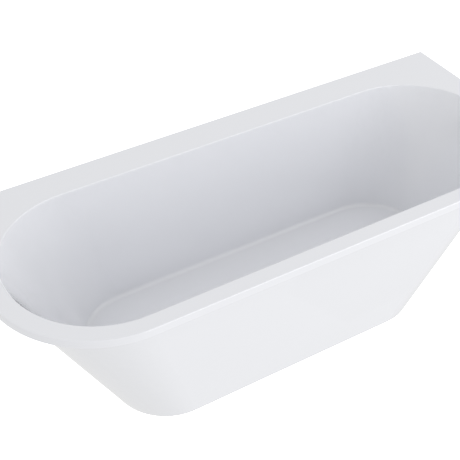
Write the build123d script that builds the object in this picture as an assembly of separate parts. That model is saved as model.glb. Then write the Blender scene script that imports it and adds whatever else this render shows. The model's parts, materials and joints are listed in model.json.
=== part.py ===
"""Back-to-wall freestanding bathtub, in millimetres.

Frame: +X along the bath, +Y towards the room's wall, +Z up.
Origin: on the floor, under the centre of the outline.
"""
from math import atan, cos, degrees, radians, sin, sqrt

import os

from build123d import *

# ---------------------------------------------------------------- bath shell
LENGTH = 1700.0  # over the rim
WIDTH = 700.0  # over the rim, front to wall
HEIGHT = 580.0  # floor of the room to the top of the rim
RIM_EDGE = 24.0  # height of the turned-down edge
RIM_WALL = 5.0  # acrylic at the rim
RIM_FRONT = 48.0  # width of the rim at the front
RIM_REAR = 104.0  # width of the deck along the wall
RIM_END = 54.0  # width of the rim at each end
RIM_ROUND = 3.0  # top edge of the rim
BACK_CORNER = 4.0  # the two corners at the wall are nearly square
DEPTH = 390.0  # rim to basin floor
END_LEAN = 202.0  # an end wall leans in this far between rim and floor
SIDE_LEAN = 78.0  # a long wall leans in this far
END_FLAT = 7.0  # half the flat left between two opening corners
FLOOR_FLAT = 8.0  # half the flat left between two floor corners
BASIN_WALL = 4.0  # acrylic at walls and floor
FLOOR_ROUND = 15.0  # wall to floor, inside
OPENING_ROUND = 3.5  # rim to wall, inside
BACKING = 3.0  # glassfibre laid on the outside of the basin
BACKING_BELOW_RIM = 40.0

# --------------------------------------------------------------------- apron
APRON_WALL = 4.0
APRON_TUCK = 40.0  # rim edge to apron, just under the rim
APRON_OFF_FLOOR = 4.0
APRON_FOLLOW = 0.97  # apron slope over basin wall slope
APRON_CORNER_FOLLOW = 0.87  # the same for the corner radius
APRON_WALL_GAP = 6.0  # end of the apron to the room's wall
FLANGE = 4.0  # top flange of the apron
FLANGE_UP = 2.0  # flange above the lower line of the rim edge
FLANGE_PLAY = 1.0  # flange to the inside of the rim edge
STIFFENER = 15.0  # plywood along the foot of the apron
STIFFENER_HIGH = 40.0
STIFFENER_UP = 6.0
GLUE = 0.3  # glue line

# ------------------------------------------------------------ rim and boards
CORE_MARGIN = 3.0  # rim core to the inside of the rim edge
CORE_WIDE = 32.0
BATTEN_WIDE = 84.0
BATTEN_THICK = 20.0
BATTEN_SHORT = 50.0  # batten end to rim end
BOARD = 15.0
BOARD_INSET = 8.0
PAD_LONG = 260.0
PAD_HIGH = 160.0
PAD_THICK = 5.0
PAD_APART = 600.0
PAD_DOWN = 200.0

# --------------------------------------------------------------------- frame
TUBE = 20.0
TUBE_WALL = 1.5
CROSS_TO_APRON = 100.66  # end cross members and corner feet to the foot of the apron
CROSS_IN = 40.0  # end cross members to the rail end
MIDDLE_CROSS = -120.0  # middle cross member, on the side away from the overflow
CAP_HEAD = 2.0
CAP_DEEP = 14.0
SCREW = 2.5  # radius of every screw
SCREW_HEAD = 5.0
SCREW_HEAD_HIGH = 2.5
SCREW_PLAY = 0.2
SCREW_IN_WOOD = 11.0
STRAP = 3.0  # steel strip of the brackets
STRAP_WIDE = 30.0
STRAP_TAB = 40.0
FRONT_STRAP_APART = 500.0
END_STRAP_TO_FOOT = 80.0  # end apron bracket to the rear feet

# ---------------------------------------------------------------------- feet
STUD = 6.0
PAD = 25.0
PAD_TALL = 10.0
PAD_FLOOR = 4.0
PAD_CLEAR = 9.0  # foot pad to the apron's stiffener
STUD_TOP_GAP = 6.5  # stud end to the tube's upper wall
BUSH = 10.0
BUSH_TALL = 10.0
NUT_FLATS = 19.0
NUT_TALL = 10.0
PLAY = 0.3  # between pieces that move on each other
BEARING = 0.1  # round an axle or a spindle

# --------------------------------------------------------------- wall bracket
BRACKET = 3.0
BRACKET_WIDE = 70.0
BRACKET_HIGH = 60.0
BRACKET_DEEP = 50.0
BRACKET_APART = 1200.0
SLOT_APART = 36.0
SLOT_LONG = 20.0
SLOT_RADIUS = 4.0
BRACKET_SCREW_APART = 30.0

# --------------------------------------------------------------------- waste
WASTE_HOLE = 26.0
DISH = 3.0  # depth of the dish pressed into the floor
DISH_RADIUS = 37.0
DISH_OUTSIDE = 43.0
BACKING_HOLE = 46.0
BOARD_HOLE = 50.0
WASTE_TUBE = 25.0
WASTE_TUBE_WALL = 2.5
WASTE_RING = 35.0
WASTE_RING_THICK = 2.5
GASKET_UP = 1.5
GASKET_DOWN = 2.0
CUP = 29.0
CUP_WALL = 3.0
CUP_FLANGE = 38.0  # flange of the waste body
CUP_FLANGE_THICK = 3.0
CUP_HIGH = 76.0
OUTLET = 20.0
OUTLET_WALL = 2.5
OUTLET_DOWN = 23.0
STEM = 4.0
HUB = 7.0
SPOKE = 3.0
PLUG = 31.0
PLUG_THICK = 5.0
SEAL_THICK = 2.5
LEVER_ARM = 22.0
LEVER_AXLE = 3.0
LEVER_DROP = 42.0  # axle below the basin floor
PLUG_TRAVEL = 10.0
CRANK = 22.0
CRANK_THICK = 5.0

# ------------------------------------------------------------------ overflow
OVERFLOW_DOWN = 60.0  # rim to the middle of the overflow
SEAT = 36.0  # flat moulded round the overflow hole
SEAT_IN = 3.0
SEAT_OUT = 5.0
OVERFLOW_HOLE = 25.0
NECK = 23.5
NECK_WALL = 2.0
FACE = 30.0
FACE_THICK = 3.0
INLET_SLOT = 7.0  # width of the water inlets in the face
RING_GASKET = 1.5
OVERFLOW_BODY = 32.0
OVERFLOW_BODY_DEEP = 11.0
OVERFLOW_BODY_WALL = 2.0
KNOB = 32.0
KNOB_DEEP = 11.0
KNOB_WALL = 3.0
KNOB_GAP = 2.5
GRIP_WIDE = 9.0
SPINDLE = 5.0
CAM = 13.0
CAM_THICK = 4.0
BODY_MOUTH = 40.0  # middle of the overflow to the end of the body's mouth
DUCT_WIDE = 40.0
DUCT_DEEP = 10.0
DUCT_WALL = 1.5
DRUM = 20.0
DRUM_IN = 14.0  # duct to the middle of its elbow, towards the waste
HOSE = 16.0
HOSE_WALL = 2.5
HOSE_FALL = 10.0
SPIGOT = HOSE - HOSE_WALL - PLAY / 3
SPIGOT_WALL = 2.0
SPIGOT_LONG = 20.0
GLAND = 10.0  # the cable enters the body this far above the mouth's end
GLAND_DEEP = 14.0
CABLE = 2.5
CABLE_BEND = 90.0
CABLE_SIDE = 30.0  # cable beside the middle of the waste and of the overflow
LUG_OUT = 56.0
LUG = 6.0

# ---------------------------------------------------------------------- trap
TRAP_PIPE = 20.0
TRAP_WALL = 2.5
TRAP_LOW = 32.0  # middle of the pipe at the bottom of the bend, above the floor
TRAP_BEND = 32.0
TRAP_ELBOW = 28.0
TRAP_NUT = 27.0
TRAP_NUT_LONG = 16.0
TRAP_TAIL = 26.0
DRAIN_END = 50.0  # free end of the outlet pipe
COLLAR = 2.0
COLLAR_LONG = 6.0
CAP_BRANCH = 15.0
CAP_OUT = 30.0
CAP_RADIUS = 18.0
CAP_LONG = 12.0

# ------------------------------------------------------------- worked out
FLOOR = HEIGHT - DEPTH
RIM_LOW = HEIGHT - RIM_EDGE
RIM_UNDER = HEIGHT - RIM_WALL
OPENING_END = LENGTH / 2 - RIM_END
OPENING_FRONT = -WIDTH / 2 + RIM_FRONT
OPENING_REAR = WIDTH / 2 - RIM_REAR
BASIN_Y = (OPENING_FRONT + OPENING_REAR) / 2
OPENING_CORNER = (OPENING_REAR - OPENING_FRONT) / 2 - END_FLAT
RIM_CORNER = OPENING_CORNER + RIM_FRONT
FLOOR_END = OPENING_END - END_LEAN
FLOOR_FRONT = OPENING_FRONT + SIDE_LEAN
FLOOR_REAR = OPENING_REAR - SIDE_LEAN
FLOOR_CORNER = (FLOOR_REAR - FLOOR_FRONT) / 2 - FLOOR_FLAT
END_SLOPE = END_LEAN / DEPTH
SIDE_SLOPE = SIDE_LEAN / DEPTH
CORNER_SLOPE = (OPENING_CORNER - FLOOR_CORNER) / DEPTH
APRON_END_SLOPE = END_SLOPE * APRON_FOLLOW
APRON_SIDE_SLOPE = SIDE_SLOPE * APRON_FOLLOW
APRON_CORNER_SLOPE = CORNER_SLOPE * APRON_CORNER_FOLLOW
FLANGE_TOP = RIM_LOW + FLANGE_UP + FLANGE
BACKING_TOP = HEIGHT - BACKING_BELOW_RIM
BACKING_LOW = FLOOR - BASIN_WALL - BACKING
BOARD_LOW = BACKING_LOW - BOARD
TUBE_LOW = BOARD_LOW - TUBE
TUBE_MID = BOARD_LOW - TUBE / 2
RAIL_REAR_Y = FLOOR_REAR - BOARD_INSET - TUBE / 2
NUT_TOP = TUBE_LOW - BUSH_TALL - PLAY
LEVER_Z = FLOOR - LEVER_DROP
LEVER_TILT = degrees(atan(PLUG_TRAVEL / 2 / LEVER_ARM))
CUP_TOP = FLOOR - DISH - BASIN_WALL - GASKET_DOWN
CUP_LOW = CUP_TOP - CUP_HIGH
CABLE_Z = LEVER_Z - CRANK
END_TILT = atan(END_SLOPE)


def plan(half_length, front, rear, corner, back_corner, z):
    """Outline seen from above, with round front corners, as a face at height z."""
    straight = half_length - corner
    back = half_length - back_corner
    side_low = front + corner
    side_high = rear - back_corner
    edges = [
        Line((-straight, front, z), (straight, front, z)),
        CenterArc((straight, side_low, z), corner, -90, 90),
        Line((half_length, side_low, z), (half_length, side_high, z)),
        Line((back, rear, z), (-back, rear, z)),
        Line((-half_length, side_high, z), (-half_length, side_low, z)),
        CenterArc((-straight, side_low, z), corner, 180, 90),
    ]
    if back_corner:
        edges.append(CenterArc((back, side_high, z), back_corner, 0, 90))
        edges.append(CenterArc((-back, side_high, z), back_corner, 90, 90))
    return make_face(edges)


def rim_plan(inset, z):
    """Outline of the rim, moved in by inset."""
    back_corner = max(BACK_CORNER - inset, 0)
    return plan(
        LENGTH / 2 - inset, inset - WIDTH / 2, WIDTH / 2 - inset, RIM_CORNER - inset, back_corner, z
    )


def basin_plan(z, grow):
    """Outline of the basin's inner face at height z, moved out by grow."""
    down = HEIGHT - z
    corner = OPENING_CORNER - CORNER_SLOPE * down + grow
    return plan(
        OPENING_END - END_SLOPE * down + grow,
        OPENING_FRONT + SIDE_SLOPE * down - grow,
        OPENING_REAR - SIDE_SLOPE * down + grow,
        corner,
        corner,
        z,
    )


def apron_end(z):
    """Half length over the apron's outer face at height z."""
    return LENGTH / 2 - APRON_TUCK - APRON_END_SLOPE * (RIM_LOW - z)


def apron_front(z):
    """Front line of the apron's outer face at height z."""
    return APRON_TUCK - WIDTH / 2 + APRON_SIDE_SLOPE * (RIM_LOW - z)


def apron_corner(z):
    """Radius of the apron's front corners at height z."""
    return RIM_CORNER - APRON_TUCK - APRON_CORNER_SLOPE * (RIM_LOW - z)


def apron_plan(z, inset, rear):
    """Outline of the apron, moved in by inset and carried back to rear."""
    return plan(apron_end(z) - inset, apron_front(z) + inset, rear, apron_corner(z) - inset, 0, z)


CROSS_X = apron_end(0) - CROSS_TO_APRON
RAIL_END = CROSS_X + CROSS_IN


def front_rail_line():
    """Y of the front rail: as near the apron as its corner feet can stand clear of the stiffener."""
    into_corner = max(CROSS_X - (apron_end(0) - apron_corner(0)), 0)
    reach = apron_corner(0) - APRON_WALL - STIFFENER - PAD - PAD_CLEAR
    return apron_front(0) + apron_corner(0) - sqrt(reach**2 - into_corner**2)


RAIL_FRONT_Y = front_rail_line()
END_STRAP_Y = RAIL_REAR_Y - END_STRAP_TO_FOOT
APRON_REAR = WIDTH / 2 - APRON_WALL_GAP
FEET = {
    "front_left": (-CROSS_X, RAIL_FRONT_Y),
    "front_right": (CROSS_X, RAIL_FRONT_Y),
    "rear_left": (-CROSS_X, RAIL_REAR_Y),
    "rear_right": (CROSS_X, RAIL_REAR_Y),
    "middle": (MIDDLE_CROSS, (RAIL_FRONT_Y + RAIL_REAR_Y) / 2),
}

# The overflow's own frame, on the right end wall: x to the front, y up the wall, z into the basin.
OVERFLOW = Plane(
    origin=(OPENING_END - END_SLOPE * OVERFLOW_DOWN, BASIN_Y, HEIGHT - OVERFLOW_DOWN),
    x_dir=(0, -1, 0),
    z_dir=(-cos(END_TILT), 0, sin(END_TILT)),
)
FACE_LOW = SEAT_IN + RING_GASKET
FACE_TOP = FACE_LOW + FACE_THICK
BODY_TOP = -SEAT_OUT - RING_GASKET
BODY_LOW = BODY_TOP - OVERFLOW_BODY_DEEP
DUCT_MID = BODY_LOW + DUCT_DEEP / 2


def rod(radius, low, high, x=0.0, y=0.0):
    """Upright cylinder between two heights."""
    return Pos(x, y, low) * extrude(Circle(radius), high - low)


def ring(outer, inner, low, high, x=0.0, y=0.0):
    """Upright tube between two heights."""
    return rod(outer, low, high, x, y) - rod(inner, low - 1, high + 1, x, y)


def block(x, y, z):
    """Box from three (low, high) pairs."""
    centre = Pos((x[0] + x[1]) / 2, (y[0] + y[1]) / 2, (z[0] + z[1]) / 2)
    return centre * Box(x[1] - x[0], y[1] - y[0], z[1] - z[0])


def bar(radius, start, finish):
    """Cylinder from one point to another."""
    run = Vector(finish) - Vector(start)
    return extrude(Plane(start, z_dir=run) * Circle(radius), run.length)


def pipe(radius, path):
    """Round rod along a path."""
    return sweep(Plane(path @ 0, z_dir=path % 0) * Circle(radius), path=path)


def slab(face, thick):
    """Flat piece standing on a level face."""
    return extrude(face, thick, dir=(0, 0, 1))


def basin_block(top, low, grow, edge_round):
    """Solid of the basin's shape between two heights, its lower edge rounded."""
    solid = loft([basin_plan(top, grow), basin_plan(low, grow)], ruled=True)
    return fillet(solid.faces().sort_by(Axis.Z)[0].edges(), edge_round)


def apron_block(top, low, inset, rear):
    """Solid of the apron's shape between two heights."""
    return loft([apron_plan(top, inset, rear), apron_plan(low, inset, rear)], ruled=True)


def on_wall(outer, inner, low, high, x=0.0, y=0.0):
    """Tube (or disc, where inner is 0) standing on the overflow's seat."""
    solid = ring(outer, inner, low, high, x, y) if inner else rod(outer, low, high, x, y)
    return OVERFLOW * solid


# ------------------------------------------------------------ shell and boards
def tub_shell():
    """Acrylic rim and basin in one sheet, with waste and overflow holes."""
    rim = slab(rim_plan(0, RIM_LOW), RIM_EDGE)
    rim = fillet(rim.faces().sort_by(Axis.Z)[-1].edges(), RIM_ROUND)
    rim -= slab(rim_plan(RIM_WALL, RIM_LOW - 1), RIM_EDGE - RIM_WALL + 1)
    grow = BASIN_WALL * 1.05
    rim += basin_block(HEIGHT - 1, FLOOR - BASIN_WALL, grow, FLOOR_ROUND + BASIN_WALL)
    rim += rod(DISH_OUTSIDE, FLOOR - DISH - BASIN_WALL, FLOOR, 0, BASIN_Y)
    rim += on_wall(SEAT, 0, -SEAT_OUT, 0)
    shell = rim - basin_block(HEIGHT, FLOOR, 0, FLOOR_ROUND)
    shell += on_wall(SEAT, 0, -SEAT_OUT, SEAT_IN)
    shell -= rod(DISH_RADIUS, FLOOR - DISH, FLOOR + 1, 0, BASIN_Y)
    shell -= rod(WASTE_HOLE, FLOOR - 20, FLOOR, 0, BASIN_Y)
    shell -= on_wall(OVERFLOW_HOLE, 0, -2 * SEAT_OUT, 2 * SEAT_IN)
    mouth = [
        edge
        for edge in shell.edges()
        if abs(edge.center().Z - HEIGHT) < 0.01 and edge_in_opening(edge)
    ]
    return fillet(mouth, OPENING_ROUND)


def edge_in_opening(edge):
    """True for an edge of the basin's opening, false for the rim's outer edges."""
    point = edge.position_at(0.5)
    return abs(point.X) < OPENING_END + 1 and OPENING_FRONT - 1 < point.Y < OPENING_REAR + 1


def glassfibre_backing():
    """Laminate over the outside of the basin, open round both holes."""
    grow = BASIN_WALL * 1.05
    low = FLOOR - BASIN_WALL
    outer = basin_block(
        BACKING_TOP, low - BACKING, grow + BACKING * 1.05, FLOOR_ROUND + BASIN_WALL + BACKING
    )
    layer = outer - basin_block(BACKING_TOP + 1, low, grow, FLOOR_ROUND + BASIN_WALL)
    layer -= rod(BACKING_HOLE, low - 20, low + 1, 0, BASIN_Y)
    return layer - on_wall(SEAT + 2, 0, -40, 20)


def base_board():
    """Board laminated under the basin floor, drilled for the waste and the frame screws."""
    board = slab(basin_plan(FLOOR, -BOARD_INSET), -BOARD)
    board = Pos(0, 0, BACKING_LOW - FLOOR) * board
    board -= rod(BOARD_HOLE, BOARD_LOW - 1, BACKING_LOW + 1, 0, BASIN_Y)
    for x, y in frame_screw_places():
        board -= rod(SCREW, BOARD_LOW - 1, BOARD_LOW + SCREW_IN_WOOD + STRAP, x, y)
    return board


def rim_core():
    """Hard foam band that fills the rim edge at the front and both ends."""
    outer = rim_plan(RIM_WALL + CORE_MARGIN, FLANGE_TOP)
    inner = rim_plan(RIM_WALL + CORE_MARGIN + CORE_WIDE, FLANGE_TOP)
    band = slab(outer, RIM_UNDER - FLANGE_TOP) - slab(inner, RIM_UNDER - FLANGE_TOP)
    cut_y = WIDTH / 2 - RIM_WALL - BATTEN_WIDE - CORE_MARGIN - GLUE
    return band - block((-LENGTH, LENGTH), (cut_y, WIDTH), (0, 2 * HEIGHT))


def rear_batten():
    """Timber under the deck, which carries the wall brackets."""
    rear = WIDTH / 2 - RIM_WALL - CORE_MARGIN
    half = LENGTH / 2 - BATTEN_SHORT
    low_half = apron_end(RIM_LOW) - 2 * APRON_WALL
    low = RIM_UNDER - BATTEN_THICK
    across = (rear - BATTEN_WIDE, rear)
    batten = block((-half, half), across, (FLANGE_TOP + GLUE, RIM_UNDER))
    batten += block((-low_half, low_half), across, (low, FLANGE_TOP + GLUE))
    return drill(batten, bracket_screw_places(), SCREW, low=low - 1, high=low + SCREW_IN_WOOD)


def apron():
    """Outer skirt: front, two conical corners and two ends, with a flange under the rim."""
    skirt = apron_block(FLANGE_TOP, APRON_OFF_FLOOR, 0, APRON_REAR)
    flange = slab(rim_plan(RIM_WALL + FLANGE_PLAY, FLANGE_TOP - FLANGE), FLANGE)
    flange -= block((-LENGTH, LENGTH), (APRON_REAR, WIDTH), (0, 2 * HEIGHT))
    hollow = apron_block(FLANGE_TOP + 1, APRON_OFF_FLOOR - 1, APRON_WALL * 1.05, WIDTH)
    return skirt + flange - hollow


def apron_stiffener():
    """Plywood strip bonded inside the foot of the apron, its inner face upright."""
    low = APRON_OFF_FLOOR + STIFFENER_UP
    top = low + STIFFENER_HIGH
    glued = APRON_WALL * 1.05 + GLUE
    strip = apron_block(top, low, glued, APRON_REAR)
    return strip - slab(apron_plan(low, glued + STIFFENER, WIDTH), STIFFENER_HIGH)


def sound_pads():
    """Two heavy damping pads on the back of the basin's rear wall."""
    middle = HEIGHT - PAD_DOWN
    outside = OPENING_REAR - SIDE_SLOPE * PAD_DOWN + (BASIN_WALL + BACKING) * 1.05
    lean = atan(SIDE_SLOPE)
    pads = Part()
    for side in (-1, 1):
        face = Plane(
            (side * PAD_APART / 2, outside, middle), x_dir=(1, 0, 0), z_dir=(0, cos(lean), -sin(lean))
        )
        pad = Box(PAD_LONG, PAD_HIGH, PAD_THICK, align=(Align.CENTER, Align.CENTER, Align.MIN))
        pads += face * fillet(pad.edges().filter_by(Axis.Z), 12)
    return pads


# ----------------------------------------------------------------------- frame
def frame_screw_places():
    """Where the rails are screwed to the base board."""
    reach = RAIL_END - 2.5 * CROSS_IN
    return [(x, y) for y in (RAIL_FRONT_Y, RAIL_REAR_Y) for x in (-reach, -reach / 2, reach / 2, reach)]


def drill(solid, places, radius, low=TUBE_LOW - 1, high=BOARD_LOW + 1):
    """Drill upright holes."""
    for x, y in places:
        solid -= rod(radius, low, high, x, y)
    return solid


def rail(y):
    """Square tube along the bath."""
    wall = TUBE / 2 - TUBE_WALL
    tube = block((-RAIL_END, RAIL_END), (y - TUBE / 2, y + TUBE / 2), (TUBE_LOW, BOARD_LOW))
    tube -= block((-LENGTH, LENGTH), (y - wall, y + wall), (TUBE_MID - wall, TUBE_MID + wall))
    feet = [place for name, place in FEET.items() if place[1] == y]
    tube = drill(tube, feet, STUD + PLAY, high=TUBE_MID)
    straps = [place for place in front_strap_screws() if place[1] == y]
    tube = drill(tube, straps, SCREW, high=TUBE_MID)
    screws = [place for place in frame_screw_places() if place[1] == y]
    return drill(tube, screws, SCREW + SCREW_PLAY)


def cross_member(x):
    """Square tube between the rails."""
    wall = TUBE / 2 - TUBE_WALL
    ends = (RAIL_FRONT_Y + TUBE / 2, RAIL_REAR_Y - TUBE / 2)
    tube = block((x - TUBE / 2, x + TUBE / 2), ends, (TUBE_LOW, BOARD_LOW))
    tube -= block((x - wall, x + wall), (-WIDTH, WIDTH), (TUBE_MID - wall, TUBE_MID + wall))
    feet = [FEET["middle"]] if x == MIDDLE_CROSS else []
    tube = drill(tube, feet, STUD + PLAY, high=TUBE_MID)
    straps = [place for place in end_strap_screws() if place[0] == x]
    return drill(tube, straps, SCREW, high=TUBE_MID)


def rail_end_caps():
    """Plastic plugs in the four open tube ends."""
    wall = TUBE / 2 - TUBE_WALL
    caps = Part()
    for side in (-1, 1):
        for y in (RAIL_FRONT_Y, RAIL_REAR_Y):
            head = side * (RAIL_END + CAP_HEAD / 2)
            plug = side * (RAIL_END - CAP_DEEP / 2)
            caps += Pos(head, y, TUBE_MID) * Box(CAP_HEAD, TUBE, TUBE)
            caps += Pos(plug, y, TUBE_MID) * Box(CAP_DEEP, 2 * wall, 2 * wall)
    return caps


def frame_screws():
    """Screws from under the rails into the base board."""
    screws = Part()
    for x, y in frame_screw_places():
        screws += rod(SCREW_HEAD, TUBE_LOW - SCREW_HEAD_HIGH, TUBE_LOW, x, y)
        screws += rod(SCREW, TUBE_LOW, BOARD_LOW + SCREW_IN_WOOD, x, y)
    return screws


def front_strap_screws():
    """Two screws in each front bracket."""
    half = FRONT_STRAP_APART / 2
    steps = (-STRAP_WIDE / 4, STRAP_WIDE / 4)
    return [(x + step, RAIL_FRONT_Y) for x in (-half, half) for step in steps]


def end_strap_screws():
    """Two screws in each end bracket."""
    steps = (-STRAP_WIDE / 4, STRAP_WIDE / 4)
    return [(x, END_STRAP_Y + step) for x in (-CROSS_X, CROSS_X) for step in steps]


def strap_outline(inner, outer_top, outer_low):
    """Side view of a bracket: flat under the tube, then a tab down the apron's slope."""
    top = TUBE_LOW
    turn = 1 if outer_top < inner else -1
    return Polyline(
        (inner, top),
        (outer_top, top),
        (outer_low, top - STRAP_TAB),
        (outer_low + turn * STRAP, top - STRAP_TAB),
        (outer_top + turn * STRAP, top - STRAP),
        (inner, top - STRAP),
        close=True,
    )


def apron_brackets_front():
    """Two steel brackets from the front rail to the apron's inner face."""
    glued = APRON_WALL * 1.05 + GLUE
    outline = strap_outline(
        RAIL_FRONT_Y + TUBE / 2,
        apron_front(TUBE_LOW) + glued,
        apron_front(TUBE_LOW - STRAP_TAB) + glued,
    )
    brackets = Part()
    for side in (-1, 1):
        left = side * FRONT_STRAP_APART / 2 - STRAP_WIDE / 2
        start = Plane((left, 0, 0), x_dir=(0, 1, 0), z_dir=(1, 0, 0))
        brackets += extrude(start * make_face(outline), STRAP_WIDE)
    return drill(brackets, front_strap_screws(), SCREW + SCREW_PLAY, low=0)


def apron_brackets_end():
    """Two steel brackets from the end cross members to the apron's ends."""
    glued = APRON_WALL * 1.12 + GLUE
    brackets = Part()
    for side in (-1, 1):
        outline = strap_outline(
            side * (CROSS_X - TUBE / 2),
            side * (apron_end(TUBE_LOW) - glued),
            side * (apron_end(TUBE_LOW - STRAP_TAB) - glued),
        )
        start = Plane((0, END_STRAP_Y + STRAP_WIDE / 2, 0), x_dir=(1, 0, 0), z_dir=(0, -1, 0))
        brackets += extrude(start * make_face(outline), STRAP_WIDE)
    return drill(brackets, end_strap_screws(), SCREW + SCREW_PLAY, low=0)


def bracket_screws():
    """Screws that hold the apron brackets to the frame."""
    screws = Part()
    for x, y in front_strap_screws() + end_strap_screws():
        seat = TUBE_LOW - STRAP
        screws += rod(SCREW_HEAD, seat - SCREW_HEAD_HIGH, seat, x, y)
        screws += rod(SCREW, seat, TUBE_LOW + 2 * TUBE_WALL, x, y)
    return screws


def bracket_screw_places():
    """Two screws in each wall bracket."""
    y = WIDTH / 2 - BRACKET_DEEP * 0.6
    half = BRACKET_APART / 2
    steps = (-BRACKET_SCREW_APART / 2, BRACKET_SCREW_APART / 2)
    return [(x + step, y) for x in (-half, half) for step in steps]


def wall_bracket(x):
    """Steel angle under the batten, slotted for the wall fixings."""
    top = RIM_UNDER - BATTEN_THICK
    across = (x - BRACKET_WIDE / 2, x + BRACKET_WIDE / 2)
    rear = WIDTH / 2
    angle = block(across, (rear - BRACKET_DEEP, rear), (top - BRACKET, top))
    angle += block(across, (rear - BRACKET, rear), (top - BRACKET_HIGH, top))
    holes = bracket_screw_places()
    angle = drill(angle, holes, SCREW + SCREW_PLAY, low=top - 2 * BRACKET, high=top + 1)
    slot = SlotOverall(SLOT_LONG, 2 * SLOT_RADIUS)
    for step in (-SLOT_APART / 2, SLOT_APART / 2):
        middle = (x + step, rear + 1, top - BRACKET_HIGH / 2)
        place = Plane(middle, x_dir=(1, 0, 0), z_dir=(0, -1, 0))
        angle -= extrude(place * slot, BRACKET + 2)
    return angle


def wall_bracket_screws():
    """Screws from the wall brackets up into the batten."""
    seat = RIM_UNDER - BATTEN_THICK - BRACKET
    screws = Part()
    for x, y in bracket_screw_places():
        screws += rod(SCREW_HEAD, seat - SCREW_HEAD_HIGH, seat, x, y)
        screws += rod(SCREW, seat, seat + BRACKET + SCREW_IN_WOOD, x, y)
    return screws


# ------------------------------------------------------------------------ feet
def foot_bushes():
    """Threaded bushes welded under the frame, one over each foot."""
    bushes = Part()
    for x, y in FEET.values():
        bushes += ring(BUSH, STUD + PLAY, TUBE_LOW - BUSH_TALL, TUBE_LOW, x, y)
    return bushes


def foot_stud(x, y):
    """Threaded stud of one foot."""
    return rod(STUD, PAD_FLOOR, BOARD_LOW - TUBE_WALL - STUD_TOP_GAP, x, y)


def foot_pad(x, y):
    """Round pad with the socket for the stud."""
    pad = rod(PAD, 0, PAD_TALL, x, y)
    pad = fillet(pad.edges().sort_by(Axis.Z)[-1], 3)
    pad += rod(STUD * 1.8, PAD_TALL, PAD_TALL * 1.8, x, y)
    return pad - rod(STUD, PAD_FLOOR, 2 * PAD_TALL, x, y)


def foot_nut(x, y):
    """Hexagonal adjusting nut under the bush."""
    hexagon = RegularPolygon(NUT_FLATS / 2, 6, major_radius=False)
    nut = Pos(x, y, NUT_TOP - NUT_TALL) * extrude(hexagon, NUT_TALL)
    return nut - rod(STUD + PLAY, 0, NUT_TOP + 1, x, y)


# ----------------------------------------------------------------------- waste
def waste_flange():
    """Chromed ring in the dish, its threaded tube and the guide for the plug's stem."""
    low = FLOOR - DISH + GASKET_UP
    top = low + WASTE_RING_THICK
    bottom = CUP_TOP - CUP_FLANGE_THICK - TUBE
    bore = WASTE_TUBE - WASTE_TUBE_WALL
    flange = rod(WASTE_RING, low, top, 0, BASIN_Y) + rod(WASTE_TUBE, bottom, top, 0, BASIN_Y)
    flange = fillet(flange.edges().sort_by(Axis.Z)[-1], 1.2)
    flange -= rod(bore, bottom - 1, top + 1, 0, BASIN_Y)
    guide = rod(HUB, low - HUB, low, 0, BASIN_Y)
    for turn in (0, 90):
        guide += Pos(0, BASIN_Y, low - HUB / 2) * Rot(0, 0, turn) * Box(2 * bore + 1, SPOKE, HUB)
    return flange + guide - rod(STEM + PLAY, bottom, top, 0, BASIN_Y)


def waste_gasket_upper():
    """Rubber ring between the dish and the chromed ring."""
    low = FLOOR - DISH
    return ring(WASTE_RING - 1, WASTE_HOLE, low, low + GASKET_UP, 0, BASIN_Y)


def waste_gasket_lower():
    """Rubber ring between the dish and the waste body."""
    return ring(CUP_FLANGE, WASTE_HOLE, CUP_TOP, CUP_TOP + GASKET_DOWN, 0, BASIN_Y)


def waste_body():
    """Plastic cup under the floor, with the overflow inlet, outlet and cable stop."""
    cup = rod(CUP, CUP_LOW, CUP_TOP, 0, BASIN_Y)
    cup += rod(CUP_FLANGE, CUP_TOP - CUP_FLANGE_THICK, CUP_TOP, 0, BASIN_Y)
    cup += rod(OUTLET, CUP_LOW - OUTLET_DOWN, CUP_LOW, 0, BASIN_Y)
    cup += bar(SPIGOT, from_waste(0), from_waste(CUP + SPIGOT_LONG))
    side = BASIN_Y + CABLE_SIDE
    cup += block((0, LUG_OUT), (side - 9, side - 4), (CABLE_Z - 8, CABLE_Z + 8))
    cup += block((LUG_OUT - LUG, LUG_OUT), (side - 9, side + 7), (CABLE_Z - 8, CABLE_Z + 8))
    cup -= bar(CABLE, (LUG_OUT - LUG - 1, side, CABLE_Z), (LUG_OUT + 1, side, CABLE_Z))
    cup -= rod(CUP - CUP_WALL, CUP_LOW + CUP_WALL, CUP_TOP + 1, 0, BASIN_Y)
    cup -= rod(OUTLET - OUTLET_WALL, CUP_LOW - 2 * OUTLET_DOWN, CUP_LOW + CUP_WALL + 1, 0, BASIN_Y)
    cup -= bar(SPIGOT - SPIGOT_WALL, from_waste(CUP / 2), from_waste(CUP + SPIGOT_LONG + 1))
    axle = (LEVER_ARM, BASIN_Y, LEVER_Z)
    return cup - bar(LEVER_AXLE + BEARING, axle, (LEVER_ARM, BASIN_Y + CUP, LEVER_Z))


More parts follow.
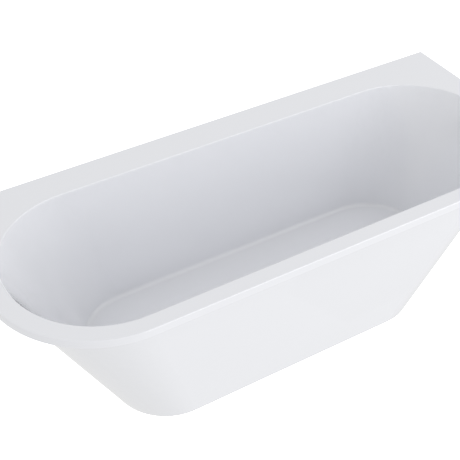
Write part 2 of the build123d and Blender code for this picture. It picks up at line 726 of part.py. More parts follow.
def lift_lever():
    """Axle through the cup's wall, with a finger inside and a crank outside."""
    tilt = radians(LEVER_TILT)
    crank_y = (BASIN_Y + CABLE_SIDE - CRANK_THICK / 2, BASIN_Y + CABLE_SIDE + CRANK_THICK / 2)
    lever = bar(LEVER_AXLE, (LEVER_ARM, BASIN_Y - 6, LEVER_Z), (LEVER_ARM, crank_y[1], LEVER_Z))
    tip_x = LEVER_ARM * (1 - cos(tilt))
    tip_z = LEVER_Z - LEVER_ARM * sin(tilt)
    lever += bar(LEVER_AXLE * 0.7, (LEVER_ARM, BASIN_Y, LEVER_Z), (tip_x, BASIN_Y, tip_z))
    lever += bar(LEVER_AXLE, (tip_x, BASIN_Y - 5, tip_z), (tip_x, BASIN_Y + 5, tip_z))
    crank = block((-4, 4), crank_y, (-CRANK, 5))
    crank += bar(5, (0, crank_y[0], -CRANK), (0, crank_y[1], -CRANK))
    return lever + Pos(LEVER_ARM, 0, LEVER_Z) * Rot(0, -LEVER_TILT, 0) * crank


def plug():
    """Chromed dome that closes the waste."""
    low = FLOOR - DISH + GASKET_UP + WASTE_RING_THICK + PLAY
    cap = rod(PLUG, low, low + PLUG_THICK, 0, BASIN_Y)
    cap = fillet(cap.edges().sort_by(Axis.Z)[-1], PLUG_THICK * 0.8)
    return cap - rod(STEM, low - 1, low + PLUG_THICK / 2, 0, BASIN_Y)


def plug_stem():
    """Adjustable stem that stands on the lever's finger."""
    top = FLOOR - DISH + GASKET_UP + WASTE_RING_THICK + PLAY + PLUG_THICK / 2
    return rod(STEM, stem_foot(), top, 0, BASIN_Y)


def stem_foot():
    """Height of the stem's lower end with the waste closed."""
    return LEVER_Z - LEVER_ARM * sin(radians(LEVER_TILT)) + LEVER_AXLE + PLAY


def plug_seal():
    """Rubber ring round the stem, under the dome."""
    top = FLOOR - DISH + GASKET_UP + WASTE_RING_THICK + PLAY
    bore = WASTE_TUBE - WASTE_TUBE_WALL
    return ring(bore - PLAY, STEM, top - SEAL_THICK, top, 0, BASIN_Y)


# -------------------------------------------------------------------- overflow
def overflow_gasket_inner():
    """Rubber ring between the wall and the overflow's face."""
    return on_wall(FACE - 1, OVERFLOW_HOLE, SEAT_IN, FACE_LOW)


def overflow_gasket_outer():
    """Rubber ring between the wall and the overflow body."""
    return on_wall(OVERFLOW_BODY, OVERFLOW_HOLE, BODY_TOP, -SEAT_OUT)


def overflow_flange():
    """Face ring with the inlet slots, its neck and the bearing of the knob."""
    low = BODY_TOP - OVERFLOW_BODY_WALL
    flange = on_wall(FACE, 0, FACE_LOW, FACE_TOP) + on_wall(NECK, NECK - NECK_WALL, low, FACE_LOW)
    flange += on_wall(SPINDLE * 2, 0, low, FACE_LOW)
    slot_middle = (NECK - NECK_WALL + SPINDLE * 2) / 2
    for turn in range(0, 360, 72):
        slot = SlotArc(CenterArc((0, 0), slot_middle, turn, 32), INLET_SLOT)
        flange -= OVERFLOW * Pos(0, 0, FACE_LOW - 1) * extrude(slot, FACE_THICK + 2)
    return flange - on_wall(SPINDLE + PLAY, 0, low - 1, FACE_TOP + 1)


def overflow_body():
    """Shallow plastic cup behind the wall, open to the duct below."""
    inner = OVERFLOW_BODY - OVERFLOW_BODY_WALL
    body = on_wall(OVERFLOW_BODY, 0, BODY_LOW, BODY_TOP)
    down = (Align.CENTER, Align.MIN, Align.CENTER)
    foot = OVERFLOW * Pos(0, -BODY_MOUTH, DUCT_MID)
    body += foot * Box(DUCT_WIDE, SEAT / 2, DUCT_DEEP, align=down)
    body += foot * Pos(-CABLE_SIDE, GLAND, 0) * Box(4 * CABLE, SEAT / 2, DUCT_DEEP, align=down)
    body -= on_wall(inner, 0, BODY_LOW + OVERFLOW_BODY_WALL, BODY_TOP + 1)
    body -= foot * Box(DUCT_WIDE - 2 * DUCT_WALL, SEAT, DUCT_DEEP - 2 * DUCT_WALL, align=down)
    gland = Pos(-CABLE_SIDE, GLAND, 0) * Rot(-90, 0, 0) * extrude(Circle(CABLE), GLAND_DEEP)
    return body - foot * gland


def overflow_knob():
    """Chromed cap that turns the cable, open round its rim to let water in."""
    low = FACE_TOP + KNOB_GAP
    top = low + KNOB_DEEP
    cap = on_wall(KNOB, 0, low, top)
    cap = fillet(cap.faces().sort_by(OVERFLOW_AXIS)[-1].edges(), KNOB_WALL)
    cap -= on_wall(KNOB - KNOB_WALL, 0, low - 1, top - KNOB_WALL)
    grip = OVERFLOW * Pos(0, 0, top) * Box(1.6 * KNOB, GRIP_WIDE, 2 * KNOB_WALL)
    return cap + fillet(grip.edges().filter_by(OVERFLOW_AXIS), GRIP_WIDE / 3)


def knob_spindle():
    """Spindle from the knob to the cable cam behind the wall."""
    cam_low = BODY_LOW + OVERFLOW_BODY_WALL + PLAY * 2
    top = FACE_TOP + KNOB_GAP + KNOB_DEEP - KNOB_WALL
    spindle = on_wall(SPINDLE, 0, cam_low, top)
    cam = on_wall(CAM, 0, cam_low, cam_low + CAM_THICK)
    notch = OVERFLOW * Pos(CAM, 0, cam_low) * Box(8, 4, 4 * CAM_THICK)
    return spindle + (cam - notch)


def drum_centre():
    """Middle of the duct's elbow: under the frame, beside the duct's lower end."""
    z = TUBE_LOW - HOSE - PLAY - HOSE_FALL / 2
    along = (OVERFLOW.origin.Z - z) / cos(END_TILT)
    duct_end = OVERFLOW.from_local_coords(Vector(0, -along, DUCT_MID))
    return duct_end - Vector(DRUM_IN / cos(END_TILT), 0, 0)


def hose_line(distance, start, finish):
    """Point at a distance from start on the way to finish."""
    return start + (finish - start).normalized() * distance


def from_drum(distance):
    """Point on the hose's middle line, measured from the duct's elbow."""
    return hose_line(distance, drum_centre(), waste_inlet())


def from_waste(distance):
    """Point on the hose's middle line, measured from the middle of the waste."""
    return hose_line(distance, waste_inlet(), drum_centre())


def waste_inlet():
    """Where the hose's middle line meets the middle of the waste."""
    return Vector(0, BASIN_Y, drum_centre().Z - HOSE_FALL)


def duct_solid(shrink):
    """Flat duct, drum and spigot as one solid, its walls moved in by shrink."""
    centre = drum_centre()
    length = (OVERFLOW.origin.Z - centre.Z) / cos(END_TILT) - BODY_MOUTH
    across = Vector(0, DUCT_WIDE / 2 - shrink, 0)
    down = (Align.CENTER, Align.MAX, Align.CENTER)
    flat = Box(DUCT_WIDE - 2 * shrink, length, DUCT_DEEP - 2 * shrink, align=down)
    solid = OVERFLOW * Pos(0, -BODY_MOUTH, DUCT_MID) * flat
    solid += bar(DRUM - shrink, centre - across, centre + across)
    wall = SPIGOT_WALL if shrink else 0
    return solid + bar(SPIGOT - wall, centre, from_drum(DRUM + SPIGOT_LONG + shrink))


def overflow_duct():
    """Flat duct down the end wall, with the elbow that takes the hose."""
    duct = duct_solid(0) - duct_solid(DUCT_WALL)
    mouth = Box(DUCT_WIDE - 2 * DUCT_WALL, 4 * DUCT_WALL, DUCT_DEEP - 2 * DUCT_WALL)
    return duct - OVERFLOW * Pos(0, -BODY_MOUTH, DUCT_MID) * mouth


def overflow_hose():
    """Ribbed hose from the duct to the waste body."""
    start = from_drum(DRUM + 1)
    finish = from_waste(CUP + 1)
    return bar(HOSE, start, finish) - bar(HOSE - HOSE_WALL, start, finish)


def overflow_cable():
    """Sheathed cable from the knob's cam to the stop beside the lift lever."""
    start = OVERFLOW.from_local_coords(Vector(-CABLE_SIDE, GLAND - BODY_MOUTH, DUCT_MID))
    down = (start.Z - CABLE_Z) / cos(END_TILT)
    corner = OVERFLOW.from_local_coords(Vector(-CABLE_SIDE, GLAND - BODY_MOUTH - down, DUCT_MID))
    finish = (LUG_OUT, BASIN_Y + CABLE_SIDE, CABLE_Z)
    return pipe(CABLE, FilletPolyline(start, corner, finish, radius=CABLE_BEND))


# ------------------------------------------------------------------------ trap
def trap_path():
    """Middle line of the trap: down, round the bend and out towards the wall."""
    turn_z = TRAP_LOW + TRAP_BEND
    over = BASIN_Y + 2 * TRAP_BEND
    y, z = trap_outlet()
    line = [
        Line((BASIN_Y, CUP_LOW - OUTLET_DOWN), (BASIN_Y, turn_z)),
        CenterArc((BASIN_Y + TRAP_BEND, turn_z), TRAP_BEND, 180, 180),
        CenterArc((over + TRAP_ELBOW, turn_z), TRAP_ELBOW, 180, -90),
        Line((y - TRAP_TAIL, z), (y, z)),
    ]
    return Plane.YZ * Wire(line)


def trap_body():
    """Water trap under the waste, with a branch for cleaning."""
    middle = (0, BASIN_Y + TRAP_BEND, TRAP_LOW)
    trap = pipe(TRAP_PIPE, trap_path()) + bar(CAP_BRANCH, middle, (CAP_OUT, middle[1], TRAP_LOW))
    trap -= pipe(TRAP_PIPE - TRAP_WALL, trap_path())
    return trap - bar(CAP_BRANCH - TRAP_WALL, middle, (CAP_OUT + 1, middle[1], TRAP_LOW))


def trap_cleaning_cap():
    """Screw cap on the cleaning branch."""
    y = BASIN_Y + TRAP_BEND
    start = (CAP_OUT - CAP_LONG * 0.6, y, TRAP_LOW)
    cap = bar(CAP_RADIUS, start, (CAP_OUT + CAP_LONG * 0.4, y, TRAP_LOW))
    return cap - bar(CAP_BRANCH, (0, y, TRAP_LOW), (CAP_OUT, y, TRAP_LOW))


def trap_outlet():
    """Where the trap ends, and the height it ends at."""
    over = BASIN_Y + 2 * TRAP_BEND
    return over + TRAP_ELBOW + TRAP_TAIL, TRAP_LOW + TRAP_BEND + TRAP_ELBOW


def trap_nuts():
    """Union nuts at the trap's inlet and outlet."""
    top = CUP_LOW - OUTLET_DOWN
    y, z = trap_outlet()
    half = TRAP_NUT_LONG / 2
    nuts = ring(TRAP_NUT, TRAP_PIPE, top - half, top + half, 0, BASIN_Y)
    outlet_nut = bar(TRAP_NUT, (0, y - half, z), (0, y + half, z))
    return nuts + outlet_nut - bar(TRAP_PIPE, (0, y - 2 * half, z), (0, y + 2 * half, z))


def outlet_pipe():
    """Pipe from the trap to the wall, with a collar where the house's drain stops."""
    y, z = trap_outlet()
    collar = APRON_REAR - DRAIN_END
    solid = bar(TRAP_PIPE, (0, y, z), (0, APRON_REAR, z))
    solid += bar(TRAP_PIPE + COLLAR, (0, collar - COLLAR_LONG, z), (0, collar, z))
    return solid - bar(TRAP_PIPE - TRAP_WALL, (0, y - 1, z), (0, APRON_REAR + 1, z))


OVERFLOW_AXIS = Axis(OVERFLOW.origin, OVERFLOW.z_dir)

NODES = {
    "tub_shell": tub_shell(),
    "glassfibre_backing": glassfibre_backing(),
    "base_board": base_board(),
    "rim_core": rim_core(),
    "rear_batten": rear_batten(),
    "apron": apron(),
    "apron_stiffener": apron_stiffener(),
    "sound_pads": sound_pads(),
    "frame_rail_front": rail(RAIL_FRONT_Y),
    "frame_rail_rear": rail(RAIL_REAR_Y),
    "frame_cross_left": cross_member(-CROSS_X),
    "frame_cross_middle": cross_member(MIDDLE_CROSS),
    "frame_cross_right": cross_member(CROSS_X),
    "rail_end_caps": rail_end_caps(),
    "frame_screws": frame_screws(),
    "apron_brackets_front": apron_brackets_front(),
    "apron_brackets_end": apron_brackets_end(),
    "apron_bracket_screws": bracket_screws(),
    "wall_bracket_left": wall_bracket(-BRACKET_APART / 2),
    "wall_bracket_right": wall_bracket(BRACKET_APART / 2),
    "wall_bracket_screws": wall_bracket_screws(),
    "foot_bushes": foot_bushes(),
    "waste_flange": waste_flange(),
    "waste_gasket_upper": waste_gasket_upper(),
    "waste_gasket_lower": waste_gasket_lower(),
    "waste_body": waste_body(),
    "lift_lever": lift_lever(),
    "plug": plug(),
    "plug_stem": plug_stem(),
    "plug_seal": plug_seal(),
    "overflow_gasket_inner": overflow_gasket_inner(),
    "overflow_gasket_outer": overflow_gasket_outer(),
    "overflow_flange": overflow_flange(),
    "overflow_body": overflow_body(),
    "overflow_knob": overflow_knob(),
    "knob_spindle": knob_spindle(),
    "overflow_duct": overflow_duct(),
    "overflow_hose": overflow_hose(),
    "overflow_cable": overflow_cable(),
    "trap_body": trap_body(),
    "trap_cleaning_cap": trap_cleaning_cap(),
    "trap_nuts": trap_nuts(),
    "outlet_pipe": outlet_pipe(),
}
for name, (x, y) in FEET.items():
    NODES[f"foot_stud_{name}"] = foot_stud(x, y)
    NODES[f"foot_pad_{name}"] = foot_pad(x, y)
    NODES[f"foot_nut_{name}"] = foot_nut(x, y)

os.makedirs("parts", exist_ok=True)
for name, shape in NODES.items():
    export_step(shape, f"parts/{name}.step")
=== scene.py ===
# %% [markdown]
# # A back-to-wall bath, dressed in Blender
# The bath arrives as a frame of named nodes, each already at its true size and place. This
# lesson gives every node a finish, and models by hand the small things that a plain solid leaves
# out: threads, ribs, screw heads, weld beads and rounded edges. Lengths are in metres.

import json
import math

import bmesh
import bpy
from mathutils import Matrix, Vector


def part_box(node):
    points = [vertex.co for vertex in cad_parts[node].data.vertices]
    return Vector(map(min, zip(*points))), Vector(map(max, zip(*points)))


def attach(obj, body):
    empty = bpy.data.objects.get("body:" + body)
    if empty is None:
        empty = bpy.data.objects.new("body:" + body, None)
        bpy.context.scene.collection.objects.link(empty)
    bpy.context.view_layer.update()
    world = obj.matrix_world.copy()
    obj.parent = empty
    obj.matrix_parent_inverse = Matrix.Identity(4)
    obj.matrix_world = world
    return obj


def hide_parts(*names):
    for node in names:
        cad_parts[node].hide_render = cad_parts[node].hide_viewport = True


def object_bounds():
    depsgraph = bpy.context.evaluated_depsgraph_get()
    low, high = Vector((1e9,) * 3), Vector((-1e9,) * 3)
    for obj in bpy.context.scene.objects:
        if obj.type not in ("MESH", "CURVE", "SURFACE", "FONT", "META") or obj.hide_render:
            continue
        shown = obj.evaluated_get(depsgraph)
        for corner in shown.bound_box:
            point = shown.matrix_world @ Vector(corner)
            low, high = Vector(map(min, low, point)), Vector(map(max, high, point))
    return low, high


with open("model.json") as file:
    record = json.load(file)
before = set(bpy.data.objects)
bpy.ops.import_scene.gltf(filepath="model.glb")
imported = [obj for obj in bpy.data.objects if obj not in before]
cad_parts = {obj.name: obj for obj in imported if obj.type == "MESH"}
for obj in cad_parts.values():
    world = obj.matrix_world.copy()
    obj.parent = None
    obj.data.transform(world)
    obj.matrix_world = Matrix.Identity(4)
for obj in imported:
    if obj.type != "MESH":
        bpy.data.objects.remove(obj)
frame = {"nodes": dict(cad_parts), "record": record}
nodes = frame["nodes"]
record = frame["record"]
cad_low, cad_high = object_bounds()
print("the bath measures", [round(high - low, 4) for low, high in zip(cad_low, cad_high)])

# %% [markdown]
# ## Camera
# A long lens keeps the bath's straight lines calm. The camera stands in front of the bath, to the
# left, and looks down into the basin. It is placed from the rim, because the rim is the edge that
# the eye measures first. Pan and tilt are plain angles: pan turns about the upright axis, tilt
# lowers the gaze.

# %% Camera
RIM_TOP = cad_high[2]
CAMERA_FROM_RIM = Vector((-1.2079, -1.8400, 1.7009))
PAN = math.radians(-30.643)
TILT = math.radians(40.536)
LENS = 76.09

lens = bpy.data.cameras.new("camera")
lens.sensor_width = 36.0
lens.lens = LENS
lens.clip_end = 50.0
camera = bpy.data.objects.new("camera", lens)
camera.location = CAMERA_FROM_RIM + Vector((0, 0, RIM_TOP))
camera.rotation_euler = (math.pi / 2 - TILT, 0, PAN)
bpy.context.scene.collection.objects.link(camera)
bpy.context.scene.camera = camera
print("camera stands at", [round(v, 3) for v in camera.location])

# %% [markdown]
# ## Light
# White acrylic shows its shape only through soft steps of grey, so the light has to be broad.
# A white world fills every side, and one large panel low at the front right lifts the skirt and
# the edge of the rim. The floor glows a little, so that it looks as white as the room, but its
# light is kept off the bath, where it would wash out the slope of the skirt.

# %% World, panel and floor
WORLD_STRENGTH = 0.81
PANEL_SIZE = 6.0
PANEL_DISTANCE = 4.5
PANEL_POWER = 115.0
PANEL_TURN = math.radians(36)
PANEL_RISE = math.radians(10)
FLOOR_SIZE = 60.0
FLOOR_GLOW = 0.75
WHITE = (1.0, 1.0, 1.0, 1.0)
LOOK_AT_SHARE = 0.7  # of the height of the rim
LOOK_AT = Vector((0, 0, RIM_TOP * LOOK_AT_SHARE))

world = bpy.data.worlds.new("white room")
world.use_nodes = True
sky = world.node_tree.nodes["Background"]
sky.inputs["Color"].default_value = WHITE
sky.inputs["Strength"].default_value = WORLD_STRENGTH
bpy.context.scene.world = world
bpy.context.scene.view_settings.view_transform = "Standard"


def light_panel(name, turn, rise, size, power):
    """A square light that looks at the bath from a turn about the front and a rise."""
    panel = bpy.data.lights.new(name, "AREA")
    panel.shape = "SQUARE"
    panel.size = size
    panel.energy = power
    holder = bpy.data.objects.new(name, panel)
    level = math.cos(rise)
    way = Vector((math.sin(turn) * level, -math.cos(turn) * level, math.sin(rise)))
    holder.location = LOOK_AT + way * PANEL_DISTANCE
    holder.rotation_euler = way.to_track_quat("Z", "Y").to_euler()
    bpy.context.scene.collection.objects.link(holder)
    return holder


light_panel("front panel", PANEL_TURN, PANEL_RISE, PANEL_SIZE, PANEL_POWER)

bpy.ops.object.select_all(action="DESELECT")
bpy.ops.mesh.primitive_plane_add(size=FLOOR_SIZE, location=(0, 0, cad_low[2]))
floor = bpy.context.object
floor.name = "floor"
paint = bpy.data.materials.new("pale floor")
paint.use_nodes = True
floor_sockets = {
    "Base Color": WHITE, "Roughness": 1.0, "Specular IOR Level": 0.0,
    "Emission Color": WHITE, "Emission Strength": FLOOR_GLOW,
}
for socket, value in floor_sockets.items():
    paint.node_tree.nodes["Principled BSDF"].inputs[socket].default_value = value
floor.data.materials.append(paint)
floor.visible_diffuse = False
floor.visible_glossy = False
print("lights and floor are up")

# %% [markdown]
# ## Writing a finish as a sum
# A finish is a small network of nodes. Clicking it together is slow to read back, so two helpers
# let it be written as arithmetic. `Signal` wraps one output socket: adding or multiplying two
# signals adds the Math node that does it. `Finish` is one material, and its `node` method adds
# any other node from its kind, its settings and its inputs.

# %% Signal and Finish
class Signal:
    """A number that varies over a surface, which can be used in a sum."""

    def __init__(self, finish, socket):
        self.finish = finish
        self.socket = socket

    def join(self, operation, first, second):
        return self.finish.node("ShaderNodeMath", {"operation": operation}, {0: first, 1: second})

    def __add__(self, other):
        return self.join("ADD", self, other)

    def __radd__(self, other):
        return self.join("ADD", other, self)

    def __sub__(self, other):
        return self.join("SUBTRACT", self, other)

    def __rsub__(self, other):
        return self.join("SUBTRACT", other, self)

    def __mul__(self, other):
        return self.join("MULTIPLY", self, other)

    def __rmul__(self, other):
        return self.join("MULTIPLY", other, self)


class Finish:
    """One material, with helpers for the nodes that vary it."""

    def __init__(self, name, colour, roughness, metallic=0.0, **fixed):
        self.material = bpy.data.materials.new(name)
        self.material.use_nodes = True
        self.tree = self.material.node_tree
        self.shader = self.tree.nodes["Principled BSDF"]
        self.colour = colour
        self.place = self.node("ShaderNodeTexCoord", output="Object")
        self.set("Base Color", (*colour, 1))
        self.set("Roughness", roughness)
        self.set("Metallic", metallic)
        for socket, value in fixed.items():
            self.set(socket.replace("_", " "), value)

    def set(self, socket, value):
        self.shader.inputs[socket].default_value = value

    def node(self, kind, settings=None, values=None, output=0):
        """Add a node: its settings first, then its inputs."""
        made = self.tree.nodes.new(kind)
        for key, value in (settings or {}).items():
            setattr(made, key, value)
        for key, value in (values or {}).items():
            if isinstance(value, Signal):
                self.tree.links.new(value.socket, made.inputs[key])
            else:
                made.inputs[key].default_value = value
        return Signal(self, made.outputs[output])

    def stretched(self, scale, turn=(0, 0, 0)):
        """The position on the object, scaled and turned."""
        values = {"Vector": self.place, "Scale": scale, "Rotation": turn}
        return self.node("ShaderNodeMapping", {}, values)

    def cloud(self, size, detail=2.0, place=None):
        """Soft noise from 0 to 1 whose blobs are about this size in metres."""
        values = {"Vector": place or self.place, "Scale": 1 / size, "Detail": detail}
        return self.node("ShaderNodeTexNoise", {}, values, output="Fac")

    def cells(self, size, output="Distance", feature="F1", place=None):
        """Cells about this size in metres: the distance to a cell's middle, or its colour."""
        values = {"Vector": place or self.place, "Scale": 1 / size}
        return self.node("ShaderNodeTexVoronoi", {"feature": feature}, values, output=output)

    def tint(self, factor, colour):
        """Blend from the base colour to another."""
        values = {0: factor, 6: (*self.colour, 1), 7: (*colour, 1)}
        return self.node("ShaderNodeMix", {"data_type": "RGBA"}, values, output=2)

    def colour_by(self, signal):
        self.tree.links.new(signal.socket, self.shader.inputs["Base Color"])

    def roughness_by(self, signal):
        self.tree.links.new(signal.socket, self.shader.inputs["Roughness"])

    def bump_by(self, height, depth, strength=1.0):
        """Raise the surface by a signal from 0 to 1, to a depth in metres."""
        values = {"Height": height, "Distance": depth, "Strength": strength}
        bump = self.node("ShaderNodeBump", {}, values, output="Normal")
        self.tree.links.new(bump.socket, self.shader.inputs["Normal"])


finishes = {}
print("finish helpers ready")

# %% [markdown]
# ## White acrylic
# The bath and its skirt are vacuum-formed from one kind of sheet: glossy, faintly cool, with a
# shallow ripple that only shows where a highlight runs over it. The ripple is noise a few
# centimetres across and a few microns deep; a finer cloud dulls the gloss a little where hands
# and water marks would.

# %% Acrylic
def white_acrylic():
    cool_white = (0.845, 0.854, 0.888)
    finish = Finish("white acrylic", cool_white, 0.14, Specular_IOR_Level=0.8, Coat_Weight=1.0)
    finish.set("Coat Roughness", 0.03)
    finish.colour_by(finish.tint(finish.cloud(0.35, 1) * 0.5, (0.835, 0.845, 0.88)))
    finish.roughness_by(0.09 + finish.cloud(0.06, 4) * 0.09)
    finish.bump_by(finish.cloud(0.03, 1), 0.00002, 0.2)
    return finish


finishes["white_acrylic"] = white_acrylic()

# %% [markdown]
# ## Laminate, boards and timber
# Behind the white sheet the bath is plain workshop work. Chopped glassfibre shows as short pale
# strands lying every way: three noises, each stretched along its own direction and drawn out
# into streaks. Particle board is a mosaic of chips, timber and plywood are noise drawn out along the
# grain, and hard foam is tiny cells.

# %% Laminate, boards and timber
def glassfibre():
    finish = Finish("glassfibre laminate", (0.62, 0.62, 0.50), 0.45, Specular_IOR_Level=0.4)
    strands = finish.cloud(0.004, 2, finish.stretched((1, 9, 5), (0.3, 0.2, 0.5)))
    strands = strands + finish.cloud(0.004, 2, finish.stretched((8, 1, 6), (0.1, 0.5, 1.3)))
    strands = strands + finish.cloud(0.004, 2, finish.stretched((5, 7, 1), (0.9, 0.1, 0.2)))
    share = 0.333  # of each of the three lays
    pale = (strands * share - 0.42) * 4.0
    finish.colour_by(finish.tint(pale, (0.86, 0.86, 0.78)))
    finish.roughness_by(0.35 + finish.cloud(0.02, 3) * 0.35)
    finish.bump_by(strands * share, 0.0008)
    return finish


def particle_board():
    finish = Finish("particle board", (0.55, 0.40, 0.24), 0.75)
    chips = finish.cells(0.006, place=finish.stretched((1, 1.8, 3)))
    tone = finish.cells(0.006, output="Color", place=finish.stretched((1, 1.8, 3)))
    shade = finish.node("ShaderNodeSeparateColor", {}, {0: tone}) * 0.8
    finish.colour_by(finish.tint(shade, (0.80, 0.66, 0.46)))
    finish.roughness_by(0.65 + chips * 0.3)
    finish.bump_by(chips, 0.0003)
    return finish


def hard_foam():
    finish = Finish("hard foam", (0.82, 0.74, 0.52), 0.8)
    pores = finish.cells(0.0014)
    finish.colour_by(finish.tint(pores * 1.1, (0.66, 0.56, 0.34)))
    finish.roughness_by(0.7 + finish.cloud(0.01) * 0.25)
    finish.bump_by(pores, 0.0004)
    return finish


def timber(name, pale, dark, grain):
    """Wood with its grain along the bath: grain is the spacing of the rings in metres."""
    finish = Finish(name, pale, 0.6)
    run = finish.stretched((0.06, 1, 1))
    rings = finish.cloud(grain, 3, run)
    pores = finish.cloud(grain / 9, 2, run)
    finish.colour_by(finish.tint((rings * 0.75 + pores * 0.35 - 0.3) * 1.8, dark))
    finish.roughness_by(0.5 + pores * 0.3)
    finish.bump_by(rings * 0.4 + pores * 0.6, 0.0003)
    return finish


finishes["glassfibre"] = glassfibre()
finishes["board"] = particle_board()
finishes["foam_core"] = hard_foam()
finishes["timber"] = timber("sawn softwood", (0.70, 0.50, 0.29), (0.44, 0.26, 0.12), 0.008)
finishes["plywood"] = timber("birch plywood", (0.76, 0.60, 0.40), (0.56, 0.38, 0.20), 0.004)

# %% [markdown]
# ## Metals
# Zinc-plated tube has a spangle: crystals of a centimetre or so, each with its own shade and
# gloss. Screws are passivated, so they lean to yellow. Chrome is nearly a mirror; what makes it
# look real is a trace of haze that comes and goes.

# %% Metals
def spangled_zinc():
    finish = Finish("zinc-plated steel", (0.58, 0.60, 0.62), 0.4, 1.0)
    tone = finish.node("ShaderNodeSeparateColor", {}, {0: finish.cells(0.009, output="Color")})
    finish.colour_by(finish.tint(tone * 0.6, (0.76, 0.78, 0.80)))
    finish.roughness_by(0.28 + tone * 0.22 + finish.cloud(0.004, 3) * 0.1)
    finish.bump_by(finish.cells(0.009, feature="SMOOTH_F1"), 0.00004)
    return finish


def yellow_zinc():
    finish = Finish("passivated zinc", (0.66, 0.60, 0.44), 0.35, 1.0)
    haze = finish.cloud(0.002, 3)
    finish.colour_by(finish.tint(haze * 0.7, (0.78, 0.76, 0.66)))
    finish.roughness_by(0.22 + haze * 0.25)
    finish.bump_by(finish.cloud(0.0006, 2), 0.00002)
    return finish


def polished_chrome():
    finish = Finish("polished chrome", (0.80, 0.81, 0.83), 0.06, 1.0)
    haze = finish.cloud(0.012, 4)
    finish.colour_by(finish.tint(haze * 0.3, (0.72, 0.74, 0.77)))
    finish.roughness_by(0.03 + haze * haze * 0.14)
    finish.bump_by(finish.cloud(0.02, 1), 0.00001)
    return finish


finishes["galvanised"] = spangled_zinc()
finishes["screw_zinc"] = yellow_zinc()
finishes["chrome"] = polished_chrome()

# %% [markdown]
# ## Plastics and rubber
# Mouldings differ less in colour than in how fine their skin is. One function covers them: a
# fine stipple for the skin, a slow cloud for uneven gloss, and a second colour for the slight
# drift that dust and flow lines give.

# %% Plastics and rubber
def moulding(name, colour, drift, roughness, grain, depth):
    """A moulded skin: grain is the size of its stipple in metres, and depth its height."""
    finish = Finish(name, colour, roughness)
    skin = finish.cloud(grain, 3)
    slow = finish.cloud(grain * 25, 3)
    finish.colour_by(finish.tint(slow * 0.8, drift))
    finish.roughness_by(roughness - 0.08 + slow * 0.12 + skin * 0.06)
    finish.bump_by(skin, depth)
    return finish


MOULDINGS = {
    "damping_pad": ("damping rubber", (0.050, 0.050, 0.055), (0.11, 0.105, 0.10), 0.7, 0.002, 0.0003),
    "foot_pad": ("foot rubber", (0.030, 0.030, 0.032), (0.07, 0.068, 0.064), 0.6, 0.0009, 0.00012),
    "gasket": ("black rubber", (0.022, 0.022, 0.022), (0.05, 0.05, 0.05), 0.55, 0.0008, 0.0001),
    "black_plastic": ("black nylon", (0.025, 0.025, 0.028), (0.06, 0.06, 0.06), 0.45, 0.0007, 0.00008),
    "white_pp": ("white polypropylene", (0.80, 0.80, 0.78), (0.70, 0.70, 0.67), 0.4, 0.0012, 0.00006),
    "grey_hose": ("grey hose", (0.34, 0.36, 0.38), (0.46, 0.47, 0.48), 0.45, 0.0012, 0.00006),
    "cable_sheath": ("cable sheath", (0.020, 0.020, 0.022), (0.05, 0.05, 0.05), 0.35, 0.0009, 0.00004),
    "moulded_nylon": ("natural acetal", (0.74, 0.74, 0.70), (0.62, 0.62, 0.58), 0.38, 0.001, 0.00005),
}
for slot, measures in MOULDINGS.items():
    finishes[slot] = moulding(*measures)

slot_of = {entry["node"]: entry["material_slot"] for entry in record["subparts"]}
for name, node in nodes.items():
    node.data.materials.clear()
    node.data.materials.append(finishes[slot_of[name]].material)
print("finishes:", len(finishes), "on nodes:", len(nodes))


# %% [markdown]
# ## Bench tools
# Three helpers serve every piece that follows. `pick` selects faces by a rule, because an
# operator acts on whatever is selected. `settle` ends a piece: its place goes into its mesh, it
# gets smooth shading, a finish and a body to ride on. `copy_of` takes a copy of a part as a
# mesh that can be worked on: its loose triangles are merged and its flat faces joined again.

# %% Bench tools
MM = 0.001


def put_down():
    """Leave nothing selected."""
    if bpy.context.object and bpy.context.object.mode != "OBJECT":
        bpy.ops.object.mode_set(mode="OBJECT")
    bpy.ops.object.select_all(action="DESELECT")


def take(piece):
    """Select one object and nothing else."""
    put_down()
    piece.select_set(True)
    bpy.context.view_layer.objects.active = piece


def pick(piece, rule):
    """In edit mode, select the faces whose middle and normal fit a rule."""
    mesh = bmesh.from_edit_mesh(piece.data)
    mesh.select_mode = {"FACE"}
    for face in mesh.faces:
        face.select_set(rule(face.calc_center_median(), face.normal))
    mesh.select_flush_mode()
    bmesh.update_edit_mesh(piece.data)


def apply_modifier(piece, kind, **settings):
    """Add a modifier, set it and apply it."""
    take(piece)
    made = piece.modifiers.new(kind.lower(), kind)
    for key, value in settings.items():
        setattr(made, key, value)
    bpy.ops.object.modifier_apply(modifier=made.name)


def settle(piece, name, body, slot, angle=35, replaces=()):
    """Name a finished piece, give it its finish, and let it ride on a body."""
    take(piece)
    bpy.ops.object.transform_apply(location=True, rotation=True, scale=True)
    bpy.ops.object.shade_smooth_by_angle(angle=math.radians(angle))
    piece.name = name
    piece.data.materials.clear()
    piece.data.materials.append(finishes[slot].material)
    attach(piece, body)
    if replaces:
        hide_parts(*replaces)
    return piece


def copy_of(node, flat=1.0):
    """A copy of a part's mesh, merged, with its flat faces whole again."""
    piece = nodes[node].copy()
    piece.data = nodes[node].data.copy()
    piece.parent = None
    bpy.context.scene.collection.objects.link(piece)
    take(piece)
    bpy.ops.object.mode_set(mode="EDIT")
    bpy.ops.mesh.select_all(action="SELECT")
    bpy.ops.mesh.remove_doubles(threshold=0.002 * MM)
    bpy.ops.mesh.dissolve_limited(angle_limit=math.radians(flat))
    bpy.ops.object.mode_set(mode="OBJECT")
    return piece


def body_of(node):
    """The body that a part rides on."""
    bodies = record["behaviour"]["bodies"]
    return next(name for name, held in bodies.items() if node in held)


def middle_of(node):
    """The middle of a part's box, and its low and high corners."""
    low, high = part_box(node)
    return (Vector(low) + Vector(high)) / 2, Vector(low), Vector(high)


